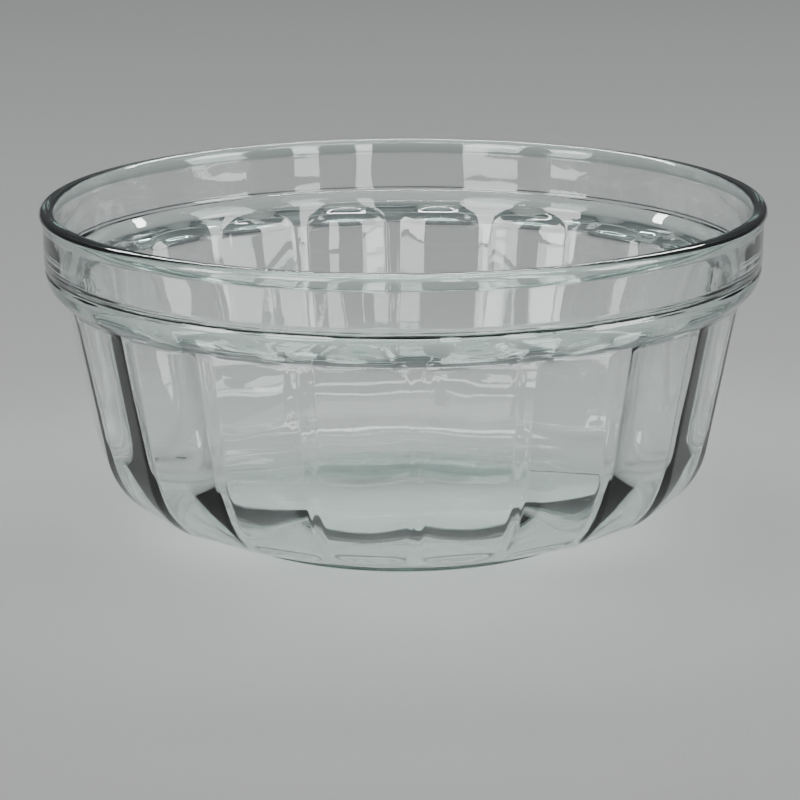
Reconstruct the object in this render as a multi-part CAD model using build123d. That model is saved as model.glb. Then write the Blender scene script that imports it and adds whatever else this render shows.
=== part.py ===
"""Clear pressed-glass stacking bowl: one piece of glass with a collar, a stacking bead and a panelled body.

Frame: millimetres, +Z up, the foot stands on Z = 0 and the bowl's axis is the Z axis.
A rib between two panels faces -Y.
"""
from build123d import *
import math
import os

# ---- overall size ----
rim_diameter = 230.0
height = 105.0
panel_count = 20

# ---- lip and collar ----
lip_thickness = 4.8
lip_drop = 5.2
lip_proud = 0.9
lip_blend = 2.5
collar_bottom_z = 87.8
collar_bottom_r = 113.8
collar_bottom_fillet = 1.2

# ---- crease and stacking bead ----
crease_r = 113.1
crease_z = 86.4
bead_top_r = 113.5
bead_top_z = 85.2
bead_top_fillet = 0.8
bead_mid_r = 112.8
bead_mid_z = 81.8
bead_low_r = 110.3
bead_low_z = 78.6
bead_under_z = 76.2
bead_under_fillet = 0.9

# ---- body, measured on the ribs between the panels ----
body_top_r = 107.4
body_top_z = 75.0
body_draft = 10.8
knee_radius = 28.0
shoulder_slope = 20.0

# ---- foot ----
foot_radius = 60.3
foot_height = 0.9
foot_edge_fillet = 0.6
foot_inner_radius = 53.5
push_up = 1.5

# ---- panels cut into the body ----
panel_ratio_top = 0.9898
panel_ratio_knee = 0.988
panel_top_z = 77.2
panel_top_fillet = 3.6
panel_low_r = 70.0
cutter_reach = 130.0
cutter_half_width = 24.0
cutter_lead = 3.0
cutter_drop = 0.5

# ---- panels on the inside, which swell inwards between shallow grooves ----
inner_panel_ratio = 0.980
inner_bulge_axis_r = 182.0
inner_bulge_turn = 13.0
inner_panel_top_z = 86.7
inner_panel_top_fillet = 13.0
inner_knee_slope = 35.0
inner_runout_slope = 25.0
inner_cutter_lead = 3.5

# ---- inside ----
collar_inner_bottom_r = 108.9
ledge_top_z = 87.6
ledge_z = 84.0
ledge_upper_fillet = 3.0
ledge_lower_fillet = 2.2
wall_thickness = 4.6
floor_z = 9.0
floor_fillet = 34.0
mouth_clearance = 5.0

rim_r = rim_diameter / 2.0
draft_run = math.tan(math.radians(body_draft))
shoulder_rise = math.tan(math.radians(shoulder_slope))


def rib_wall_r(z):
    """Radius of the drafted outer wall on a rib at height z."""
    return body_top_r - draft_run * (body_top_z - z)


def meet(r1, z1, dr1, dz1, r2, z2, dr2, dz2):
    """Crossing point of two lines in the r-z section."""
    det = dr1 * dz2 - dz1 * dr2
    t = ((r2 - r1) * dz2 - (z2 - z1) * dr2) / det
    return (r1 + t * dr1, z1 + t * dz1)


def at(r, z):
    """Point of the r-z section placed in the XZ plane."""
    return (r, 0, z)


def section(edges):
    """Closed face in the XZ plane from a list of edges."""
    return Face(Wire(edges))


def rounded(face, corners):
    """Round the section's corners; corners holds (r, z, radius)."""
    for r, z, radius in corners:
        vertex = face.vertices().sort_by_distance(at(r, z))[0]
        face = face.fillet_2d(radius, [vertex])
    return face


def round_the_axis(cutter):
    """One cutter for each panel, with its middle halfway between two ribs."""
    step = 360.0 / panel_count
    return [Rot(0, 0, step * (k + 0.5)) * cutter for k in range(panel_count)]


def panel_ring(face):
    """A panel section made straight across, repeated round the axis."""
    cutter = extrude(face, amount=cutter_half_width, dir=(0, 1, 0), both=True)
    return round_the_axis(cutter)


def swollen_panel_ring(face):
    """A panel section turned about an upright line outside the bowl, repeated in the same places."""
    turning_line = Axis((inner_bulge_axis_r, 0, 0), (0, 0, 1))
    cutter = revolve(face, turning_line, 2.0 * inner_bulge_turn)
    return round_the_axis(cutter.rotate(turning_line, -inner_bulge_turn))


# ---- outer shape: one turned profile from the lip down to the foot ----
shoulder_corner = meet(
    body_top_r, body_top_z, draft_run, 1.0, foot_radius, foot_height, 1.0, shoulder_rise
)
lip_r = lip_thickness / 2.0
lip_centre_r = rim_r - lip_r
lip_centre_z = height - lip_r
collar_top = (rim_r - lip_proud, height - lip_drop)

# the hollow under the foot is a shallow cap of a sphere centred on the axis
cap_radius = (foot_inner_radius**2 + push_up**2) / (2.0 * push_up)
push_up_mid_z = push_up - cap_radius + math.sqrt(cap_radius**2 - (foot_inner_radius / 2.0) ** 2)

outer_edges = [
    Edge.make_line(at(0, push_up), at(0, height)),
    Edge.make_line(at(0, height), at(lip_centre_r, height)),
    Edge.make_three_point_arc(
        at(lip_centre_r, height),
        at(lip_centre_r + lip_r * math.sin(math.pi / 4), lip_centre_z + lip_r * math.cos(math.pi / 4)),
        at(rim_r, lip_centre_z),
    ),
    Edge.make_line(at(rim_r, lip_centre_z), at(*collar_top)),
    Edge.make_line(at(*collar_top), at(collar_bottom_r, collar_bottom_z)),
    Edge.make_three_point_arc(
        at(collar_bottom_r, collar_bottom_z), at(crease_r, crease_z), at(bead_top_r, bead_top_z)
    ),
    Edge.make_three_point_arc(
        at(bead_top_r, bead_top_z), at(bead_mid_r, bead_mid_z), at(bead_low_r, bead_low_z)
    ),
    Edge.make_line(at(bead_low_r, bead_low_z), at(rib_wall_r(bead_under_z), bead_under_z)),
    Edge.make_line(at(rib_wall_r(bead_under_z), bead_under_z), at(*shoulder_corner)),
    Edge.make_line(at(*shoulder_corner), at(foot_radius, foot_height)),
    Edge.make_line(at(foot_radius, foot_height), at(foot_radius, 0)),
    Edge.make_line(at(foot_radius, 0), at(foot_inner_radius, 0)),
    Edge.make_three_point_arc(
        at(foot_inner_radius, 0), at(foot_inner_radius / 2.0, push_up_mid_z), at(0, push_up)
    ),
]
outer_face = rounded(
    section(outer_edges),
    [
        (*collar_top, lip_blend),
        (collar_bottom_r, collar_bottom_z, collar_bottom_fillet),
        (bead_top_r, bead_top_z, bead_top_fillet),
        (bead_low_r, bead_low_z, bead_under_fillet),
        (rib_wall_r(bead_under_z), bead_under_z, bead_under_fillet),
        (*shoulder_corner, knee_radius),
        (foot_radius, 0, foot_edge_fillet),
    ],
)
bowl = revolve(outer_face, Axis.Z, 360)

# ---- panels: flat across, curved from top to bottom, with an arched top and a scalloped lower end ----
slope = math.radians(shoulder_slope)
knee_turn = math.radians(90.0 - body_draft) - slope
knee_run = knee_radius * math.tan(knee_turn / 2.0)
knee_bottom_r = shoulder_corner[0] - knee_run * math.cos(slope)
knee_bottom_z = shoulder_corner[1] - knee_run * math.sin(slope)
knee_top_z = shoulder_corner[1] + knee_run * math.cos(math.radians(body_draft))
knee_centre_r = knee_bottom_r - knee_radius * math.sin(slope)
knee_centre_z = knee_bottom_z + knee_radius * math.cos(slope)
knee_mid_angle = (slope - math.radians(90.0) - math.radians(body_draft)) / 2.0
knee_mid_r = knee_centre_r + knee_radius * math.cos(knee_mid_angle)
knee_mid_z = knee_centre_z + knee_radius * math.sin(knee_mid_angle)

# the panel follows the rib profile at a slightly smaller radius, then runs out on the shoulder
panel_wall_top = (panel_ratio_top * rib_wall_r(panel_top_z), panel_top_z)
panel_knee_top = (panel_ratio_knee * rib_wall_r(knee_top_z), knee_top_z)
panel_knee_mid = (panel_ratio_knee * knee_mid_r, knee_mid_z)
panel_knee_bottom = (panel_ratio_knee * knee_bottom_r, knee_bottom_z)
panel_low_z = foot_height + shoulder_rise * (panel_low_r - foot_radius)
lead_slope = (knee_bottom_z - panel_low_z) / (panel_knee_bottom[0] - panel_low_r)
panel_start = (panel_low_r - cutter_lead, panel_low_z - cutter_lead * lead_slope)
cutter_floor_z = panel_start[1] - cutter_drop

panel_edges = [
    Edge.make_line(at(*panel_start), at(*panel_knee_bottom)),
    Edge.make_three_point_arc(at(*panel_knee_bottom), at(*panel_knee_mid), at(*panel_knee_top)),
    Edge.make_line(at(*panel_knee_top), at(*panel_wall_top)),
    Edge.make_line(at(*panel_wall_top), at(cutter_reach, panel_top_z)),
    Edge.make_line(at(cutter_reach, panel_top_z), at(cutter_reach, cutter_floor_z)),
    Edge.make_line(at(cutter_reach, cutter_floor_z), at(panel_start[0], cutter_floor_z)),
    Edge.make_line(at(panel_start[0], cutter_floor_z), at(*panel_start)),
]
panel_face = rounded(section(panel_edges), [(*panel_wall_top, panel_top_fillet)])
bowl = bowl - panel_ring(panel_face)

# ---- inside: a stacking ledge under the collar, and a panel behind each outer one ----
slant = math.cos(math.radians(body_draft))
inner_wall_top_r = (panel_ratio_top * rib_wall_r(ledge_z) - wall_thickness / slant) / inner_panel_ratio
inner_floor_corner_r = inner_wall_top_r - draft_run * (ledge_z - floor_z)
inner_lip_r = rim_r - lip_thickness
mouth_z = height + mouth_clearance
inner_edges = [
    Edge.make_line(at(0, floor_z), at(inner_floor_corner_r, floor_z)),
    Edge.make_line(at(inner_floor_corner_r, floor_z), at(inner_wall_top_r, ledge_z)),
    Edge.make_line(at(inner_wall_top_r, ledge_z), at(collar_inner_bottom_r, ledge_top_z)),
    Edge.make_line(at(collar_inner_bottom_r, ledge_top_z), at(inner_lip_r, lip_centre_z)),
    Edge.make_three_point_arc(
        at(inner_lip_r, lip_centre_z),
        at(lip_centre_r - lip_r * math.sin(math.pi / 4), lip_centre_z + lip_r * math.cos(math.pi / 4)),
        at(lip_centre_r, height),
    ),
    Edge.make_line(at(lip_centre_r, height), at(lip_centre_r, mouth_z)),
    Edge.make_line(at(lip_centre_r, mouth_z), at(0, mouth_z)),
    Edge.make_line(at(0, mouth_z), at(0, floor_z)),
]
inner_face = rounded(
    section(inner_edges),
    [
        (inner_floor_corner_r, floor_z, floor_fillet),
        (inner_wall_top_r, ledge_z, ledge_lower_fillet),
        (collar_inner_bottom_r, ledge_top_z, ledge_upper_fillet),
    ],
)
cavity = revolve(inner_face, Axis.Z, 360)

# the wide fillet between the floor and the inner wall, as a centre and the places where it starts and ends
fillet_reach = floor_fillet * math.tan(math.radians(90.0 - body_draft) / 2.0)
fillet_centre_r = inner_floor_corner_r - fillet_reach
fillet_centre_z = floor_z + floor_fillet


def on_floor_fillet(slope_degrees, ratio):
    """Point of the floor fillet where it has a given slope, drawn in towards the axis by a ratio."""
    angle = math.radians(slope_degrees)
    r = fillet_centre_r + floor_fillet * math.sin(angle)
    return (ratio * r, fillet_centre_z - floor_fillet * math.cos(angle))


# an inner panel follows the fillet and the wall a little nearer the axis, and runs out near the floor
inner_wall_slope = 90.0 - body_draft
inner_knee = on_floor_fillet(inner_knee_slope, inner_panel_ratio)
inner_knee_mid = on_floor_fillet((inner_knee_slope + inner_wall_slope) / 2.0, inner_panel_ratio)
inner_knee_top = on_floor_fillet(inner_wall_slope, inner_panel_ratio)
inner_runout = on_floor_fillet(inner_runout_slope, 1.0)
runout_fall = (inner_knee[1] - inner_runout[1]) / (inner_knee[0] - inner_runout[0])
inner_start = (inner_runout[0] - inner_cutter_lead, inner_runout[1] - inner_cutter_lead * runout_fall)
inner_rib_top_r = inner_wall_top_r + draft_run * (inner_panel_top_z - ledge_z)
inner_panel_top = (inner_panel_ratio * inner_rib_top_r, inner_panel_top_z)
inner_panel_edges = [
    Edge.make_line(at(*inner_start), at(*inner_knee)),
    Edge.make_three_point_arc(at(*inner_knee), at(*inner_knee_mid), at(*inner_knee_top)),
    Edge.make_line(at(*inner_knee_top), at(*inner_panel_top)),
    Edge.make_line(at(*inner_panel_top), at(cutter_reach, inner_panel_top_z)),
    Edge.make_line(at(cutter_reach, inner_panel_top_z), at(cutter_reach, inner_start[1])),
    Edge.make_line(at(cutter_reach, inner_start[1]), at(*inner_start)),
]
inner_panel_face = rounded(section(inner_panel_edges), [(*inner_panel_top, inner_panel_top_fillet)])
cavity = cavity - swollen_panel_ring(inner_panel_face)
glass_bowl = bowl - cavity

os.makedirs("parts", exist_ok=True)
export_step(glass_bowl, "parts/glass_bowl.step")
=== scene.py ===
"""Clear pressed-glass stacking bowl on a pale studio floor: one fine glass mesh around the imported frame."""
import math

import bpy
from mathutils import Matrix, Vector, noise


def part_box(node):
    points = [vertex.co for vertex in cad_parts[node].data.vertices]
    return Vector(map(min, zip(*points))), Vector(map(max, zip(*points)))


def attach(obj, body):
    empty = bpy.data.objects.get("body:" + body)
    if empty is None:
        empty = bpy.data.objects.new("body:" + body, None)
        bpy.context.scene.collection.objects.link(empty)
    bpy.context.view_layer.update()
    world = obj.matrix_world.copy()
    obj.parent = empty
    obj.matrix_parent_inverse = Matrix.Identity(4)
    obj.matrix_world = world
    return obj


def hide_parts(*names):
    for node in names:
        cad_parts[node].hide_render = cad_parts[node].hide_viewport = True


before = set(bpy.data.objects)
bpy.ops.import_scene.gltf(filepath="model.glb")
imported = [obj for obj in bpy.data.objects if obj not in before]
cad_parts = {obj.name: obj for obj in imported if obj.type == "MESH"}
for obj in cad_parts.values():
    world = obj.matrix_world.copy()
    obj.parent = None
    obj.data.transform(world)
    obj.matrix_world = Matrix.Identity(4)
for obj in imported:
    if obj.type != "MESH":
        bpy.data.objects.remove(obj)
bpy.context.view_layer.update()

MM = 0.001
CAD_NODE = "glass_bowl"
BODY = "root"

# ---- overall size, from the frame, in millimetres ----
BOX_MARGIN = 0.02
low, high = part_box(CAD_NODE)
RIM_R = min(-low[0], -low[1], high[0], high[1]) / MM - BOX_MARGIN
HEIGHT = high[2] / MM - BOX_MARGIN
FOOT_Z = low[2] / MM + BOX_MARGIN

# ---- lip, collar, crease and bead: (radius, height) ----
LIP_THICKNESS = 4.8
LIP_DROP = 5.2
LIP_PROUD = 0.9
LIP_BLEND = 2.5
COLLAR_BOTTOM = (113.8, 87.8)
CREASE = (113.1, 86.4)
BEAD_TOP = (113.5, 85.2)
BEAD_MIDDLE = (112.8, 81.8)
BEAD_LOW = (110.3, 78.6)
BEAD_UNDER_Z = 76.2
COLLAR_FILLET = 1.2
BEAD_FILLET = 0.9

# ---- body on the ribs, and the foot ----
BODY_TOP = (107.4, 75.0)
BODY_DRAFT = math.radians(10.8)
SHOULDER_SLOPE = math.radians(20.0)
KNEE_RADIUS = 28.0
FOOT_TOP = (60.3, 0.9)
FOOT_FILLET = 0.6
FOOT_INNER_R = 53.5
PUSH_UP = 1.5

# ---- panels ----
PANELS = 20
PANEL_RATIO_TOP = 0.9898
PANEL_RATIO_KNEE = 0.988
PANEL_TOP_Z = 77.2
PANEL_TOP_FILLET = 3.6
PANEL_LOW_R = 70.0
PANEL_REACH = 130.0
EDGE_SOFTNESS = 0.08

# ---- inside ----
WALL = 4.6
LEDGE_Z = 84.0
COLLAR_INNER = (108.9, 87.6)
LEDGE_UPPER_FILLET = 3.0
LEDGE_LOWER_FILLET = 2.2
FLOOR_Z = 9.0
FLOOR_FILLET = 34.0
INNER_PANEL_RATIO = 0.980
INNER_BULGE_AXIS_R = 182.0
INNER_PANEL_TOP_Z = 86.7
INNER_PANEL_TOP_FILLET = 13.0
INNER_KNEE_SLOPE = math.radians(35.0)
INNER_RUNOUT_SLOPE = math.radians(25.0)
INNER_LEAD = 3.5
INNER_SOFTNESS = 0.2

# ---- fineness of the mesh ----
FLAT_COLUMNS = 6
EDGE_COLUMNS = 7
EDGE_ZONE = math.radians(1.7)
ROW_FINE = 0.4
ROW_SHOULDER = 1.2
ROW_PLAIN = 3.0
ROW_FLOOR = 4.0

# ---- pressing ripples: how deep, and how far apart along X, Y and Z ----
PANEL_RIPPLE = (0.05, (11.0, 11.0, 14.0))
BEAD_RIPPLE = (0.16, (15.0, 15.0, 4.0))
COLLAR_RIPPLE = (0.10, (9.0, 9.0, 12.0))
INSIDE_RIPPLE = (0.10, (12.0, 12.0, 10.0))
INSIDE_SHIFT = 400.0

# ---- glass: the green of its thick parts, by height, and the ground surface the bowl stands on ----
CLEAR = (1.0, 1.0, 1.0, 1.0)
GREEN_TINT = (0.86, 0.96, 0.925, 1.0)
TINT_LEVELS = (
    (76.0, CLEAR),
    (78.5, GREEN_TINT),
    (83.0, GREEN_TINT),
    (86.0, CLEAR),
    (99.0, CLEAR),
    (101.0, GREEN_TINT),
)
GROUND_ROUGHNESS = 0.35
HAZE_SCALE = 28.0
HAZE_ROUGHNESS = 0.06
GRAIN_SCALE = 260.0
GRAIN_STRENGTH = 0.02
GRAIN_DEPTH = 0.0004

# ---- standing light panels: degrees round from the front, width and brightness ----
PANEL_LIGHTS = ((-64, 0.4, 14.0), (-34, 0.55, 16.0), (12, 0.14, 12.0), (33, 0.25, 12.0), (68, 0.6, 14.0))
PANEL_LIGHT_REACH = 1.5
PANEL_LIGHT_HEIGHT = 0.9


# ------------------------------------------------------------------ section helpers
def rib_wall_r(z):
    """Radius of the drafted outer wall on a rib at height z."""
    return BODY_TOP[0] - math.tan(BODY_DRAFT) * (BODY_TOP[1] - z)


def arc(p, q, s, steps):
    """Points of the circular arc from p through q to s, both ends included."""
    d = 2.0 * (p[0] * (q[1] - s[1]) + q[0] * (s[1] - p[1]) + s[0] * (p[1] - q[1]))
    pp, qq, ss = (v[0] ** 2 + v[1] ** 2 for v in (p, q, s))
    cx = (pp * (q[1] - s[1]) + qq * (s[1] - p[1]) + ss * (p[1] - q[1])) / d
    cy = (pp * (s[0] - q[0]) + qq * (p[0] - s[0]) + ss * (q[0] - p[0])) / d
    first, middle, last = (math.atan2(v[1] - cy, v[0] - cx) for v in (p, q, s))
    turn = (last - first) % math.tau
    if (middle - first) % math.tau > turn:
        turn -= math.tau
    radius = math.hypot(p[0] - cx, p[1] - cy)
    angles = [first + turn * i / steps for i in range(steps + 1)]
    return [(cx + radius * math.cos(a), cy + radius * math.sin(a)) for a in angles]


def quarter(centre, radius, start_deg, end_deg, steps):
    """Points of an arc given by its centre, radius and two angles."""
    angles = [math.radians(start_deg + (end_deg - start_deg) * i / steps) for i in range(steps + 1)]
    return [(centre[0] + radius * math.cos(a), centre[1] + radius * math.sin(a)) for a in angles]


def corner(before, here, after, radius, steps):
    """The arc that rounds the corner at here, between the points before and after."""
    here = Vector(here)
    back = (Vector(before) - here).normalized()
    on = (Vector(after) - here).normalized()
    half = back.angle(on) / 2.0
    reach = radius / math.tan(half)
    centre = here + (back + on).normalized() * (radius / math.sin(half))
    middle = centre + (here - centre).normalized() * radius
    return arc(here + back * reach, middle, here + on * reach, steps)


def divided(path, longest):
    """The same path with its runs cut so that none is longer than longest."""
    fine = [tuple(path[0])]
    for p, q in zip(path, path[1:]):
        cuts = max(1, math.ceil(math.dist(p, q) / longest))
        run, rise = q[0] - p[0], q[1] - p[1]
        fine.extend((p[0] + run * i / cuts, p[1] + rise * i / cuts) for i in range(1, cuts + 1))
    return fine


def crossing(p, p_angle, q, q_angle):
    """Where the line through p meets the line through q; angles are above the radial direction."""
    a, b, c, d = math.cos(p_angle), math.sin(p_angle), math.cos(q_angle), math.sin(q_angle)
    t = ((q[0] - p[0]) * d - (q[1] - p[1]) * c) / (a * d - b * c)
    return (p[0] + t * a, p[1] + t * b)


def height_lookup(path):
    """A function that gives a path's radius at a height; the path only rises."""

    def radius_at(z):
        for p, q in zip(path, path[1:]):
            if p[1] <= z <= q[1] and q[1] > p[1]:
                return p[0] + (q[0] - p[0]) * (z - p[1]) / (q[1] - p[1])
        return None

    return radius_at


# ------------------------------------------------------------------ the bowl's section
SHOULDER_CORNER = crossing(BODY_TOP, math.pi / 2 - BODY_DRAFT, FOOT_TOP, SHOULDER_SLOPE)
BEAD_UNDER = (rib_wall_r(BEAD_UNDER_Z), BEAD_UNDER_Z)
LIP_R = LIP_THICKNESS / 2.0
LIP_CENTRE = (RIM_R - LIP_R, HEIGHT - LIP_R)
COLLAR_TOP = (RIM_R - LIP_PROUD, HEIGHT - LIP_DROP)


def underside_rows():
    """From the axis out over the shallow hollow and the flat ring to the top of the foot."""
    sphere = (FOOT_INNER_R**2 + PUSH_UP**2) / (2.0 * PUSH_UP)
    half_z = PUSH_UP - sphere + math.sqrt(sphere**2 - (FOOT_INNER_R / 2.0) ** 2)
    hollow = arc((0.5, PUSH_UP), (FOOT_INNER_R / 2.0, half_z), (FOOT_INNER_R, FOOT_Z), 8)
    edge = corner((FOOT_INNER_R, FOOT_Z), (FOOT_TOP[0], FOOT_Z), FOOT_TOP, FOOT_FILLET, 4)
    return hollow + divided([hollow[-1], edge[0]], ROW_PLAIN)[1:] + edge[1:]


def body_rows():
    """Up the body on a rib: shoulder, knee, drafted wall and the sloped underside of the bead."""
    knee = corner(FOOT_TOP, SHOULDER_CORNER, BODY_TOP, KNEE_RADIUS, 26)
    under = corner(BODY_TOP, BEAD_UNDER, BEAD_LOW, BEAD_FILLET, 4)
    panel_top_start = (rib_wall_r(PANEL_TOP_Z - PANEL_TOP_FILLET), PANEL_TOP_Z - PANEL_TOP_FILLET)
    rows = divided([FOOT_TOP, knee[0]], ROW_SHOULDER) + knee[1:]
    rows += divided([knee[-1], panel_top_start], ROW_PLAIN)[1:]
    rows += divided([panel_top_start, under[0]], ROW_FINE)[1:] + under[1:]
    bead = corner(BEAD_UNDER, BEAD_LOW, BEAD_MIDDLE, BEAD_FILLET, 4)
    return rows + divided([under[-1], bead[0]], ROW_FINE)[1:]


def bead_rows():
    """Over the rounded bead, up to the crease."""
    bead = arc(BEAD_TOP, BEAD_MIDDLE, BEAD_LOW, 16)[::-1]
    return corner(BEAD_UNDER, BEAD_LOW, bead[2], BEAD_FILLET, 4) + bead[2:]


def collar_rows():
    """Out of the crease and up the smooth collar to the lip."""
    crease = arc(COLLAR_BOTTOM, CREASE, BEAD_TOP, 10)[::-1]
    waist = corner(crease[-2], COLLAR_BOTTOM, COLLAR_TOP, COLLAR_FILLET, 4)
    top_edge = corner(COLLAR_BOTTOM, COLLAR_TOP, (RIM_R, LIP_CENTRE[1]), LIP_BLEND, 5)
    rows = crease[1:-1] + waist
    return rows + divided([waist[-1], top_edge[0]], ROW_PLAIN)[1:] + top_edge[1:-1]


def lip_rows():
    """Over the rounded lip."""
    return quarter(LIP_CENTRE, LIP_R, 0, 180, 18)


INNER_PANEL_TOP_R = PANEL_RATIO_TOP * rib_wall_r(LEDGE_Z) - WALL / math.cos(BODY_DRAFT)
WALL_TOP = (INNER_PANEL_TOP_R / INNER_PANEL_RATIO, LEDGE_Z)
FLOOR_CORNER = (WALL_TOP[0] - math.tan(BODY_DRAFT) * (LEDGE_Z - FLOOR_Z), FLOOR_Z)


def ledge_rows():
    """From the lip down the inside of the collar and over the stacking ledge."""
    lip_inside = (LIP_CENTRE[0] - LIP_R, LIP_CENTRE[1])
    shelf = corner(lip_inside, COLLAR_INNER, WALL_TOP, LEDGE_UPPER_FILLET, 7)
    step = corner(COLLAR_INNER, WALL_TOP, FLOOR_CORNER, LEDGE_LOWER_FILLET, 7)
    rows = divided([lip_inside, shelf[0]], ROW_PLAIN)[1:] + shelf[1:]
    return rows + divided([shelf[-1], step[0]], ROW_FINE * 3)[1:] + step[1:]


def sweep_points(steps):
    """The wide fillet between the inner wall and the floor, on a rib."""
    return corner(WALL_TOP, FLOOR_CORNER, (0, FLOOR_Z), FLOOR_FILLET, steps)


def inner_wall_rows():
    """Down the panelled inner wall and round the wide fillet, on a rib."""
    start = ledge_rows()[-1]
    arch_end = (inner_rib_r(INNER_ARCH_LOW), INNER_ARCH_LOW)
    sweep = sweep_points(28)
    rows = divided([start, arch_end], ROW_FINE * 2)[1:]
    return rows + divided([arch_end, sweep[0]], ROW_PLAIN)[1:] + sweep[1:]


def floor_rows():
    """From the end of the fillet to the middle of the floor."""
    return divided([sweep_points(4)[-1], (0.5, FLOOR_Z)], ROW_FLOOR)[1:]


def inner_rib_r(z):
    """Radius of the inner wall on a rib at height z."""
    return WALL_TOP[0] - math.tan(BODY_DRAFT) * (LEDGE_Z - z)


def inner_panel_radius():
    """A function that gives an inner panel's distance from the axis at a height, at the panel's middle."""
    sweep = sweep_points(60)
    centre_r, centre_z = FLOOR_CORNER_CENTRE

    def on_sweep(slope, ratio):
        r = centre_r + FLOOR_FILLET * math.sin(slope)
        return (ratio * r, centre_z - FLOOR_FILLET * math.cos(slope))

    knee = on_sweep(INNER_KNEE_SLOPE, INNER_PANEL_RATIO)
    runout = on_sweep(INNER_RUNOUT_SLOPE, 1.0)
    fall = (knee[1] - runout[1]) / (knee[0] - runout[0])
    start = (runout[0] - INNER_LEAD, runout[1] - INNER_LEAD * fall)
    inset = [(INNER_PANEL_RATIO * r, z) for r, z in sweep if z > knee[1]][::-1]
    top = (INNER_PANEL_RATIO * inner_rib_r(INNER_PANEL_TOP_Z), INNER_PANEL_TOP_Z)
    arch = corner(inset[-1], top, (PANEL_REACH, INNER_PANEL_TOP_Z), INNER_PANEL_TOP_FILLET, 40)
    return height_lookup([start, knee] + inset + arch)


def panel_radius():
    """A function that gives a panel's distance from the axis at a height, at the panel's middle."""
    knee = corner(FOOT_TOP, SHOULDER_CORNER, BODY_TOP, KNEE_RADIUS, 60)
    inset = [(PANEL_RATIO_KNEE * r, z) for r, z in knee]
    low_z = FOOT_TOP[1] + math.tan(SHOULDER_SLOPE) * (PANEL_LOW_R - FOOT_TOP[0])
    run = (inset[0][1] - low_z) / (inset[0][0] - PANEL_LOW_R)
    lead = PANEL_LOW_R - FOOT_TOP[0]
    start = (PANEL_LOW_R - lead, low_z - lead * run)
    top = (PANEL_RATIO_TOP * rib_wall_r(PANEL_TOP_Z), PANEL_TOP_Z)
    arch = corner(inset[-1], top, (PANEL_REACH, PANEL_TOP_Z), PANEL_TOP_FILLET, 24)
    return height_lookup([start] + inset + arch)


FLOOR_CORNER_CENTRE = (sweep_points(4)[-1][0], FLOOR_Z + FLOOR_FILLET)
INNER_ARCH_LOW = INNER_PANEL_TOP_Z - INNER_PANEL_TOP_FILLET
panel_at = panel_radius()
inner_panel_at = inner_panel_radius()


def soft_min(a, b, width):
    """The smaller of two radii, with the edge between them rounded."""
    share = max(width - abs(a - b), 0.0) / width
    return min(a, b) - share * share * width / 4.0


def outer_panel(flat, from_middle):
    """Distance from the axis, at an angle from its middle, of a panel that is straight across."""
    return flat / math.cos(from_middle)


def inner_panel(flat, from_middle):
    """The same for an inner panel, which swells inwards: a round one about a line outside the bowl."""
    reach = INNER_BULGE_AXIS_R - flat
    aside = INNER_BULGE_AXIS_R * math.sin(from_middle)
    return INNER_BULGE_AXIS_R * math.cos(from_middle) - math.sqrt(reach**2 - aside**2)


def panelled(flat, r, from_middle, side):
    """Radius of the wall at an angle from the middle of a panel, outside (side -1) or inside (side 1)."""
    if flat is None:
        return r
    if side > 0:
        return soft_min(r, inner_panel(flat, from_middle), INNER_SOFTNESS)
    return soft_min(r, outer_panel(flat, from_middle), EDGE_SOFTNESS)


def ripple(kind, x, y, z):
    """Depth of the pressing ripple at a point, from 0 to its full depth."""
    depth, spread = kind
    wave = noise.noise(Vector((x / spread[0], y / spread[1], z / spread[2])))
    return depth * (0.5 + 0.5 * max(-1.0, min(1.0, wave)))


def rippled(kind, angle, r, z, side):
    """The point at an angle, pushed into the outside (side -1) or off the inside (side 1) by a ripple."""
    x, y = r * math.cos(angle), r * math.sin(angle)
    push = side * ripple(kind, x, y, z + (INSIDE_SHIFT if side > 0 else 0.0)) / r
    return (x * (1 + push), y * (1 + push), z)


# ------------------------------------------------------------------ mesh
def panel_columns():
    """Column angles across one panel, from its left rib, closer together near the ribs."""
    half = math.pi / PANELS
    left = [-half + EDGE_ZONE * i / EDGE_COLUMNS for i in range(EDGE_COLUMNS)]
    left += [-(half - EDGE_ZONE) * (1 - i / FLAT_COLUMNS) for i in range(FLAT_COLUMNS)]
    return left + [0.0] + [-a for a in left[:0:-1]]


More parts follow.
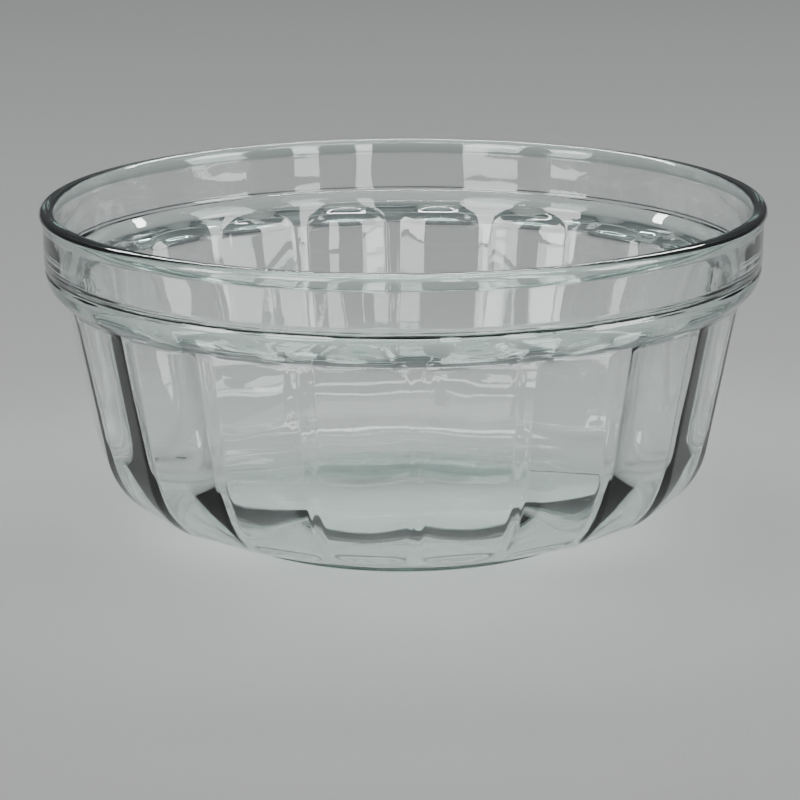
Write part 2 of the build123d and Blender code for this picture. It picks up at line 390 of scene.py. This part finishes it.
def bowl_mesh():
    """The closed glass surface. A rib faces -Y."""
    half = math.pi / PANELS
    offsets = panel_columns()
    columns = [(-math.pi / 2 + half * (2 * k + 1) + a, a) for k in range(PANELS) for a in offsets]
    plain = columns[::2]
    verts, faces, rings = [], [], []

    def add_ring(r, z, cols, kind=None, side=-1, flat=None):
        rings.append((len(verts), len(cols)))
        for angle, from_middle in cols:
            radius = panelled(flat, r, from_middle, side)
            if kind:
                point = rippled(kind, angle, radius, z, side)
            else:
                point = (radius * math.cos(angle), radius * math.sin(angle), z)
            verts.append([v * MM for v in point])

    for r, z in underside_rows():
        add_ring(r, z, plain)
    for r, z in body_rows()[1:]:
        add_ring(r, z, columns, PANEL_RIPPLE, flat=panel_at(z))
    for r, z in bead_rows():
        add_ring(r, z, plain, BEAD_RIPPLE)
    for r, z in collar_rows():
        add_ring(r, z, plain, COLLAR_RIPPLE)
    for r, z in lip_rows():
        add_ring(r, z, plain)
    for r, z in ledge_rows():
        add_ring(r, z, plain, INSIDE_RIPPLE, side=1)
    for r, z in inner_wall_rows():
        add_ring(r, z, columns, INSIDE_RIPPLE, side=1, flat=inner_panel_at(z))
    for r, z in floor_rows():
        add_ring(r, z, plain, INSIDE_RIPPLE, side=1)

    for (a, na), (b, nb) in zip(rings, rings[1:]):
        if na == nb:
            faces.extend((a + i, a + (i + 1) % na, b + (i + 1) % nb, b + i) for i in range(na))
        elif nb == 2 * na:
            for i in range(na):
                faces.append((a + i, b + 2 * i + 1, b + 2 * i))
                faces.append((a + i, a + (i + 1) % na, b + 2 * i + 1))
                faces.append((a + (i + 1) % na, b + (2 * i + 2) % nb, b + 2 * i + 1))
        else:
            for i in range(nb):
                faces.append((a + 2 * i, a + 2 * i + 1, b + i))
                faces.append((a + 2 * i + 1, b + (i + 1) % nb, b + i))
                faces.append((a + 2 * i + 1, a + (2 * i + 2) % na, b + (i + 1) % nb))
    for (first, count), z, turn in ((rings[0], PUSH_UP, -1), (rings[-1], FLOOR_Z, 1)):
        centre = len(verts)
        verts.append((0.0, 0.0, z * MM))
        for i in range(count):
            pair = (first + i, first + (i + 1) % count)
            faces.append((centre,) + (pair if turn > 0 else pair[::-1]))
    mesh = bpy.data.meshes.new("clear_bowl")
    mesh.from_pydata(verts, [], faces)
    mesh.validate()
    mesh.shade_smooth()
    return mesh


# ------------------------------------------------------------------ materials
def glass_material():
    """Clear soda-lime glass: pale green where it is thick, with a little handling haze and a ground foot."""
    material = bpy.data.materials.new("clear_glass")
    material.use_nodes = True
    nodes, links = material.node_tree.nodes, material.node_tree.links
    shader = nodes["Principled BSDF"]
    shader.inputs["Transmission Weight"].default_value = 1.0
    shader.inputs["IOR"].default_value = 1.52
    place = nodes.new("ShaderNodeTexCoord")

    haze = nodes.new("ShaderNodeTexNoise")
    haze.inputs["Scale"].default_value = HAZE_SCALE
    haze.inputs["Detail"].default_value = 4.0
    links.new(place.outputs["Object"], haze.inputs["Vector"])
    haze_range = nodes.new("ShaderNodeMapRange")
    haze_range.inputs["From Min"].default_value = 0.55
    haze_range.inputs["From Max"].default_value = 0.85
    haze_range.inputs["To Min"].default_value = 0.0
    haze_range.inputs["To Max"].default_value = HAZE_ROUGHNESS
    links.new(haze.outputs["Fac"], haze_range.inputs["Value"])

    split = nodes.new("ShaderNodeSeparateXYZ")
    links.new(place.outputs["Object"], split.inputs["Vector"])
    ground = nodes.new("ShaderNodeMapRange")
    ground.inputs["From Min"].default_value = 0.1 * FOOT_TOP[1] * MM
    ground.inputs["From Max"].default_value = 0.6 * FOOT_TOP[1] * MM
    ground.inputs["To Min"].default_value = GROUND_ROUGHNESS
    ground.inputs["To Max"].default_value = 0.0
    links.new(split.outputs["Z"], ground.inputs["Value"])
    rougher = nodes.new("ShaderNodeMath")
    rougher.operation = "MAXIMUM"
    links.new(haze_range.outputs["Result"], rougher.inputs[0])
    links.new(ground.outputs["Result"], rougher.inputs[1])
    links.new(rougher.outputs["Value"], shader.inputs["Roughness"])

    level = nodes.new("ShaderNodeMapRange")
    level.inputs["From Max"].default_value = HEIGHT * MM
    links.new(split.outputs["Z"], level.inputs["Value"])
    tint = nodes.new("ShaderNodeValToRGB")
    stops = tint.color_ramp.elements
    stops[0].color = CLEAR
    stops[1].color = GREEN_TINT
    for height, colour in TINT_LEVELS:
        stops.new(height / HEIGHT).color = colour
    links.new(level.outputs["Result"], tint.inputs["Fac"])
    links.new(tint.outputs["Color"], shader.inputs["Base Color"])

    grain = nodes.new("ShaderNodeTexNoise")
    grain.inputs["Scale"].default_value = GRAIN_SCALE
    grain.inputs["Detail"].default_value = 3.0
    links.new(place.outputs["Object"], grain.inputs["Vector"])
    bump = nodes.new("ShaderNodeBump")
    bump.inputs["Strength"].default_value = GRAIN_STRENGTH
    bump.inputs["Distance"].default_value = GRAIN_DEPTH
    links.new(grain.outputs["Fac"], bump.inputs["Height"])
    links.new(bump.outputs["Normal"], shader.inputs["Normal"])

    depth = nodes.new("ShaderNodeVolumeAbsorption")
    depth.inputs["Color"].default_value = (0.55, 0.90, 0.79, 1)
    depth.inputs["Density"].default_value = 17.0
    links.new(depth.outputs["Volume"], nodes["Material Output"].inputs["Volume"])
    return material


def floor_material():
    """Pale matt studio floor with a barely visible mottle."""
    material = bpy.data.materials.new("studio_floor")
    material.use_nodes = True
    nodes, links = material.node_tree.nodes, material.node_tree.links
    shader = nodes["Principled BSDF"]
    shader.inputs["Roughness"].default_value = 0.8
    mottle = nodes.new("ShaderNodeTexNoise")
    mottle.inputs["Scale"].default_value = 6.0
    ramp = nodes.new("ShaderNodeValToRGB")
    ramp.color_ramp.elements[0].color = (0.60, 0.60, 0.59, 1)
    ramp.color_ramp.elements[1].color = (0.64, 0.64, 0.63, 1)
    links.new(mottle.outputs["Fac"], ramp.inputs["Fac"])
    links.new(ramp.outputs["Color"], shader.inputs["Base Color"])
    return material


# ------------------------------------------------------------------ pieces
def make_bowl():
    bowl = bpy.data.objects.new("clear_bowl", bowl_mesh())
    bpy.context.scene.collection.objects.link(bowl)
    bowl.data.materials.append(glass_material())
    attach(bowl, BODY)
    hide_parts(CAD_NODE)
    return bowl


def make_floor():
    """A wide round floor under the bowl."""
    radius, sides = 6.0, 96
    angles = [math.tau * i / sides for i in range(sides)]
    ring = [(radius * math.cos(a), radius * math.sin(a), 0) for a in angles]
    mesh = bpy.data.meshes.new("studio_floor")
    mesh.from_pydata(ring, [], [tuple(range(sides))])
    floor = bpy.data.objects.new("studio_floor", mesh)
    floor.location.z = -0.0001
    bpy.context.scene.collection.objects.link(floor)
    mesh.materials.append(floor_material())


def make_world():
    """Soft studio surround: dim at the horizon, lighter above."""
    world = bpy.data.worlds.new("studio")
    bpy.context.scene.world = world
    world.use_nodes = True
    nodes, links = world.node_tree.nodes, world.node_tree.links
    place = nodes.new("ShaderNodeTexCoord")
    split = nodes.new("ShaderNodeSeparateXYZ")
    ramp = nodes.new("ShaderNodeValToRGB")
    ramp.color_ramp.elements[0].position = 0.0
    ramp.color_ramp.elements[0].color = (0.11, 0.115, 0.12, 1)
    ramp.color_ramp.elements[1].position = 0.8
    ramp.color_ramp.elements[1].color = (0.36, 0.37, 0.38, 1)
    links.new(place.outputs["Generated"], split.inputs["Vector"])
    links.new(split.outputs["Z"], ramp.inputs["Fac"])
    links.new(ramp.outputs["Color"], nodes["Background"].inputs["Color"])


def softbox(name, place, size, radiance, aim_z, highlights_only=False):
    """A rectangular area light turned to the bowl's axis. One for highlights gives no direct diffuse light."""
    light = bpy.data.lights.new(name, "AREA")
    light.shape = "RECTANGLE"
    light.size, light.size_y = size
    light.energy = radiance * math.pi * size[0] * size[1]
    lamp = bpy.data.objects.new(name, light)
    lamp.location = place
    lamp.rotation_euler = (Vector((0, 0, aim_z)) - Vector(place)).to_track_quat("-Z", "Y").to_euler()
    lamp.visible_camera = False
    lamp.visible_diffuse = not highlights_only
    bpy.context.scene.collection.objects.link(lamp)


def make_lights():
    """A soft overhead box lights the floor; the strips and standing panels are there for highlights."""
    softbox("overhead", (0.0, 0.1, 1.9), (1.6, 1.3), 1.5, 0.05)
    softbox("strip_front", (0.0, -0.75, 1.25), (2.2, 0.10), 50, 0.05, True)
    softbox("strip_back", (0.0, 0.85, 1.1), (2.2, 0.10), 50, 0.05, True)
    for azimuth, width, radiance in PANEL_LIGHTS:
        angle = math.radians(azimuth)
        middle = PANEL_LIGHT_HEIGHT / 2
        place = (PANEL_LIGHT_REACH * math.sin(angle), -PANEL_LIGHT_REACH * math.cos(angle), middle)
        softbox(f"panel_{azimuth}", place, (width, PANEL_LIGHT_HEIGHT), radiance, middle, True)


def make_camera():
    """A long lens a little above the rim, close to square on to a rib."""
    distance = 9.0 * RIM_R * MM
    azimuth, rise = math.radians(2.1), math.radians(10.81)
    pitch, yaw, roll = math.radians(14.343), math.radians(2.026), math.radians(-0.28)
    back = Vector((-math.sin(azimuth) * math.cos(rise), -math.cos(azimuth) * math.cos(rise), math.sin(rise)))
    data = bpy.data.cameras.new("camera")
    data.sensor_width = 36.0
    data.lens = 146.67
    camera = bpy.data.objects.new("camera", data)
    camera.location = Vector((0, 0, HEIGHT * MM)) + back * distance
    turn = Matrix.Rotation(-yaw, 3, "Z") @ Matrix.Rotation(math.pi / 2 - pitch, 3, "X")
    camera.rotation_euler = (turn @ Matrix.Rotation(roll, 3, "Z")).to_euler()
    bpy.context.scene.collection.objects.link(camera)
    bpy.context.scene.camera = camera


make_bowl()
make_floor()
make_world()
make_lights()
make_camera()
